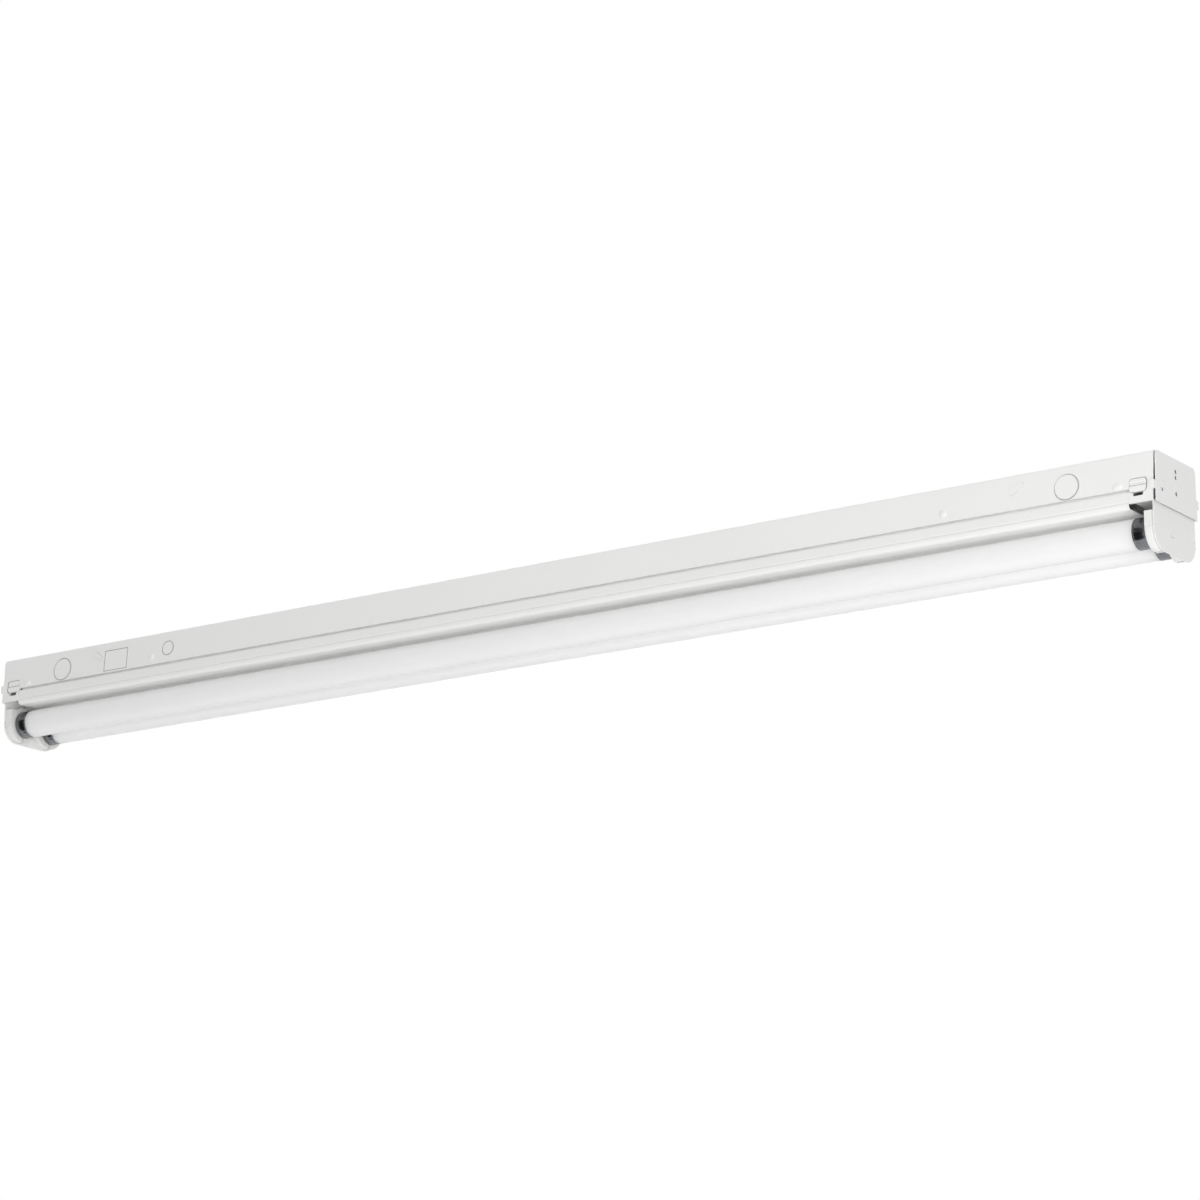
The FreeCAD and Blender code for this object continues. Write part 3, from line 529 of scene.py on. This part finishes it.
class BuildLampBases(bpy.types.Operator):
    """Models the four drawn lamp bases with rolled rims and crimps"""
    bl_idname = "strip_light.lamp_bases"
    bl_label = "Lamp bases"

    def execute(self, context):
        sizes = context.scene.strip_light_sizes
        metal = drawn_aluminium()
        for lamp in ("front", "rear"):
            for word, end in (("left", -1), ("right", 1)):
                node = "lamp_%s_cap_%s" % (lamp, word)
                piece = self.base(node, end, sizes)
                piece.data.materials.append(metal)
                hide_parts(node)
                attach(piece, "lamp_" + lamp)
        return {"FINISHED"}

    def base(self, node, end, sizes):
        """One base: rolled lip on the glass, straight skirt, rounded shoulder and recessed face."""
        low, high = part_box(node)
        glass_x = low[0] if end > 0 else high[0]
        radius = TUBE_RADIUS
        shoulder = sizes.shoulder
        steps = [(0.0, radius - BASE_WALL)]
        steps += [(along * MM, radius - less * MM) for along, less in LIP_AND_BEAD]
        steps += [(BASE_LENGTH - shoulder * back, radius - less * MM) for back, less in RIM_GROOVE]
        for turn in RIM_TURNS:
            angle = math.radians(turn)
            steps.append((BASE_LENGTH - shoulder + shoulder * math.sin(angle),
                          radius - shoulder + shoulder * math.cos(angle) - SKIRT_IN))
        steps += [(BASE_LENGTH, FACE_OPENING), (BASE_LENGTH - BASE_WALL, FACE_OPENING),
                  (BASE_LENGTH - BASE_WALL, radius - BASE_WALL - INSIDE_TAPER),
                  (INSIDE_START, radius - BASE_WALL)]
        sections = [(glass_x + end * distance, size) for distance, size in steps]
        piece = turned(node + "_drawn", middle_of(node), sections, ROUND_SIDES)
        self.open_ends(piece)
        self.crimp(piece, glass_x + end * CRIMP_PLACE, sizes.crimp_count)
        return piece

    def open_ends(self, piece):
        """Takes out the two discs that closed the shell, and bridges its two rims at the glass."""
        bpy.context.view_layer.objects.active = piece
        bpy.ops.object.mode_set(mode="EDIT")
        mesh = bmesh.from_edit_mesh(piece.data)
        for face in mesh.faces:
            face.select = len(face.verts) > 4  # the discs are the only faces with more corners
        bmesh.update_edit_mesh(piece.data)
        bpy.ops.mesh.delete(type="ONLY_FACE")
        bpy.ops.mesh.select_mode(type="EDGE")
        bpy.ops.mesh.select_all(action="DESELECT")
        bpy.ops.mesh.select_non_manifold()
        bpy.ops.mesh.bridge_edge_loops()
        bpy.ops.mesh.select_all(action="SELECT")
        bpy.ops.mesh.normals_make_consistent(inside=False)
        bpy.ops.object.mode_set(mode="OBJECT")

    def crimp(self, piece, x, count):
        """Presses small dents into the skirt beside the glass."""
        centre = sum((Vector(corner) for corner in piece.bound_box), Vector()) / 8
        for vertex in piece.data.vertices:
            reach = vertex.co - Vector((vertex.co.x, centre.y, centre.z))
            if abs(vertex.co.x - x) > CRIMP_REACH or reach.length < TUBE_RADIUS - CRIMP_SKIN:
                continue
            turn = math.atan2(reach.z, reach.y) / (2 * math.pi) * count
            if abs(turn - round(turn)) < CRIMP_SHARE:
                vertex.co -= reach.normalized() * CRIMP_DEPTH


class BuildPins(bpy.types.Operator):
    """Models the lamp pins with rounded tips"""
    bl_idname = "strip_light.pins"
    bl_label = "Lamp pins"

    def execute(self, context):
        tip = context.scene.strip_light_sizes.pin_round
        brass = drawn_brass("turned_brass_pins", "DCC48C", "B89A5C", 0.25)
        for lamp in ("front", "rear"):
            node = "lamp_%s_pins" % lamp
            low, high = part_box(node)
            pins = []
            for end in (-1, 1):
                outer = high[0] if end > 0 else low[0]
                for y in (low[1] + PIN_RADIUS, high[1] - PIN_RADIUS):
                    steps = [(PIN_RUN, PIN_RADIUS)]
                    steps += [(tip * back, PIN_RADIUS - tip * less) for back, less in PIN_TIP]
                    sections = [(outer - end * distance, radius) for distance, radius in steps]
                    pins.append(turned("pin", (0, y, middle_of(node).z), sections, PIN_SIDES))
            piece = joined(node + "_rounded", pins)
            piece.data.materials.append(brass)
            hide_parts(node)
            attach(piece, "lamp_" + lamp)
        return {"FINISHED"}


class FinishBallast(bpy.types.Operator):
    """Finishes the ballast, its bushes and screws"""
    bl_idname = "strip_light.ballast"
    bl_label = "Ballast"

    def execute(self, context):
        dress(["ballast_case"], satin_ballast_paint())
        dress(["ballast_plate", "ballast_screws"], zinc_plated_steel())
        dress(["ballast_bushes"], soft_insulation("black_rubber_bush", "2A2A2A", "1C1C1C"))
        return {"FINISHED"}


class FinishWiring(bpy.types.Operator):
    """Finishes the leads, wire connectors and earth screw"""
    bl_idname = "strip_light.wiring"
    bl_label = "Wiring"

    def execute(self, context):
        dress(cad_names("lead_"), soft_insulation("grey_white_vinyl", "D6D7D6", "C6C7C6"))
        dress(["supply_lead_black"], soft_insulation("black_vinyl", "262626", "191919"))
        dress(["supply_lead_white"], soft_insulation("white_vinyl", "F0F0EE", "E2E2E0"))
        dress(["ground_lead"], soft_insulation("green_vinyl", "2C8A46", "1F7036"))
        dress(["wire_connectors"], moulded_connector())
        dress(["ground_screw"], green_lacquer())
        return {"FINISHED"}


class BuildStage(bpy.types.Operator):
    """Sets the floor, studio light and camera"""
    bl_idname = "strip_light.stage"
    bl_label = "Stage"

    def execute(self, context):
        stage = context.scene.strip_light_stage
        self.floor(stage)
        self.world(context, stage)
        self.lamp("key_box", stage.key_place, KEY_TARGET, KEY_SIZE, stage.key)
        for soft_box in SOFT_BOXES:
            self.lamp(*soft_box)
        self.flag()
        self.camera(context)
        context.scene.view_settings.view_transform = "Standard"
        return {"FINISHED"}

    def floor(self, stage):
        """A pale floor far below: near white to the camera, with the object's faint shadow."""
        clear_selection()
        bpy.ops.mesh.primitive_grid_add(x_subdivisions=4, y_subdivisions=4, size=FLOOR_SIZE,
                                        location=FLOOR_PLACE)
        floor = bpy.context.object
        floor.name = "studio_floor"
        material, tree, shader, place = new_material("pale_studio_floor")
        cloud = grain(tree, place, 900.0, 2.0)
        shade_between(tree, shader, (cloud, "Fac"), "FAFAFA", "F7F7F7")
        tune(shader, {"Roughness": 0.8})
        path = add_node(tree, "ShaderNodeLightPath")
        seen = add_node(tree, "ShaderNodeMath", {".operation": "MAXIMUM"},
                        {0: (path, "Is Camera Ray"), 1: (path, "Is Glossy Ray")})
        lift = add_node(tree, "ShaderNodeMath",
                        {".operation": "MULTIPLY", 1: stage.floor_lift}, {0: (seen, 0)})
        glow = add_node(tree, "ShaderNodeEmission", {"Color": (1, 1, 1, 1)},
                        {"Strength": (lift, 0)})
        both = add_node(tree, "ShaderNodeAddShader", links={0: (shader, 0), 1: (glow, 0)})
        show_instead(tree, both)
        floor.data.materials.append(material)

    def world(self, context, stage):
        """Even white light; the camera sees plain white, also through glass."""
        world = bpy.data.worlds.new("soft_studio")
        context.scene.world = world
        world.use_nodes = True
        tree = world.node_tree
        tree.nodes.clear()
        path = add_node(tree, "ShaderNodeLightPath")
        seen = add_node(tree, "ShaderNodeMath", {".operation": "MAXIMUM"},
                        {0: (path, "Is Camera Ray"), 1: (path, "Is Transmission Ray")})
        even = add_node(tree, "ShaderNodeBackground",
                        {"Color": (1, 1, 1, 1), "Strength": stage.fill})
        white = add_node(tree, "ShaderNodeBackground", {"Color": (1, 1, 1, 1), "Strength": 1.0})
        both = add_node(tree, "ShaderNodeMixShader",
                        links={0: (seen, 0), 1: (even, 0), 2: (white, 0)})
        add_node(tree, "ShaderNodeOutputWorld", links={"Surface": (both, 0)})

    def lamp(self, name, place, target, size, power):
        """A square soft box aimed at a point."""
        data = bpy.data.lights.new(name, "AREA")
        data.shape = "SQUARE"
        data.size = size
        data.energy = power
        lamp = bpy.data.objects.new(name, data)
        bpy.context.scene.collection.objects.link(lamp)
        lamp.location = place
        lamp.visible_camera = False
        aim = Vector(target) - Vector(place)
        lamp.rotation_euler = aim.to_track_quat("-Z", "Y").to_euler()

    def flag(self):
        """A dark card that only reflections see: it gives bare metal its dark middle."""
        clear_selection()
        bpy.ops.mesh.primitive_grid_add(x_subdivisions=2, y_subdivisions=2, size=1.0)
        card = bpy.context.object
        card.name = "studio_flag"
        facing = Vector(FLAG_FACING).to_track_quat("Z", "Y").to_matrix().to_4x4()
        sides = Matrix.Diagonal((*FLAG_SIDES, 1, 1))
        card.data.transform(Matrix.Translation(FLAG_PLACE) @ facing @ sides)
        material, tree, shader, place = new_material("black_velvet_flag")
        nap = grain(tree, place, 2.0, 2.0)
        shade_between(tree, shader, (nap, "Fac"), "2A2A2C", "202022")
        tune(shader, {"Roughness": 0.9})
        card.data.materials.append(material)
        card.visible_camera = False
        card.visible_diffuse = False
        card.visible_shadow = False

    def camera(self, context):
        """The photograph's view: near right end, from below."""
        yaw, pitch = CAMERA_YAW, CAMERA_PITCH
        ahead = Vector((-math.sin(yaw) * math.cos(pitch), math.cos(yaw) * math.cos(pitch),
                        math.sin(pitch)))
        right = Vector((math.cos(yaw), math.sin(yaw), 0))
        up = right.cross(ahead)
        data = bpy.data.cameras.new("photo_view")
        data.sensor_width = CAMERA_SENSOR
        data.lens = CAMERA_SENSOR * CAMERA_FOCAL / CAMERA_SIDE
        data.clip_end = CAMERA_REACH
        camera = bpy.data.objects.new("photo_view", data)
        context.scene.collection.objects.link(camera)
        turn = Matrix((right, up, -ahead)).transposed().to_4x4()
        camera.matrix_world = Matrix.Translation(CAMERA_PLACE) @ turn
        context.scene.camera = camera


OPERATORS = (FinishSheetMetal, FinishLampholders, BuildTubes, BuildLampBases, BuildPins,
             FinishBallast, FinishWiring, BuildStage)


class StripLightPanel(bpy.types.Panel):
    """Lists the pieces and the stage"""
    bl_idname = "VIEW3D_PT_strip_light"
    bl_label = "Strip light"
    bl_space_type = "VIEW_3D"
    bl_region_type = "UI"
    bl_category = "Strip light"

    def draw(self, context):
        for operator in OPERATORS:
            self.layout.operator(operator.bl_idname)


CLASSES = (StripLightSizes, StripLightColours, StripLightStage, *OPERATORS, StripLightPanel)
GROUPS = {
    "strip_light_sizes": StripLightSizes,
    "strip_light_colours": StripLightColours,
    "strip_light_stage": StripLightStage,
}


def register():
    for item in CLASSES:
        bpy.utils.register_class(item)
    for name, group in GROUPS.items():
        setattr(bpy.types.Scene, name, PointerProperty(type=group))


def unregister():
    for name in GROUPS:
        delattr(bpy.types.Scene, name)
    for item in reversed(CLASSES):
        bpy.utils.unregister_class(item)


def main():
    """Builds everything in order."""
    register()
    bpy.ops.strip_light.sheet_metal()
    bpy.ops.strip_light.lampholders()
    bpy.ops.strip_light.tubes()
    bpy.ops.strip_light.lamp_bases()
    bpy.ops.strip_light.pins()
    bpy.ops.strip_light.ballast()
    bpy.ops.strip_light.wiring()
    bpy.ops.strip_light.stage()


if __name__ == "__main__":
    main()
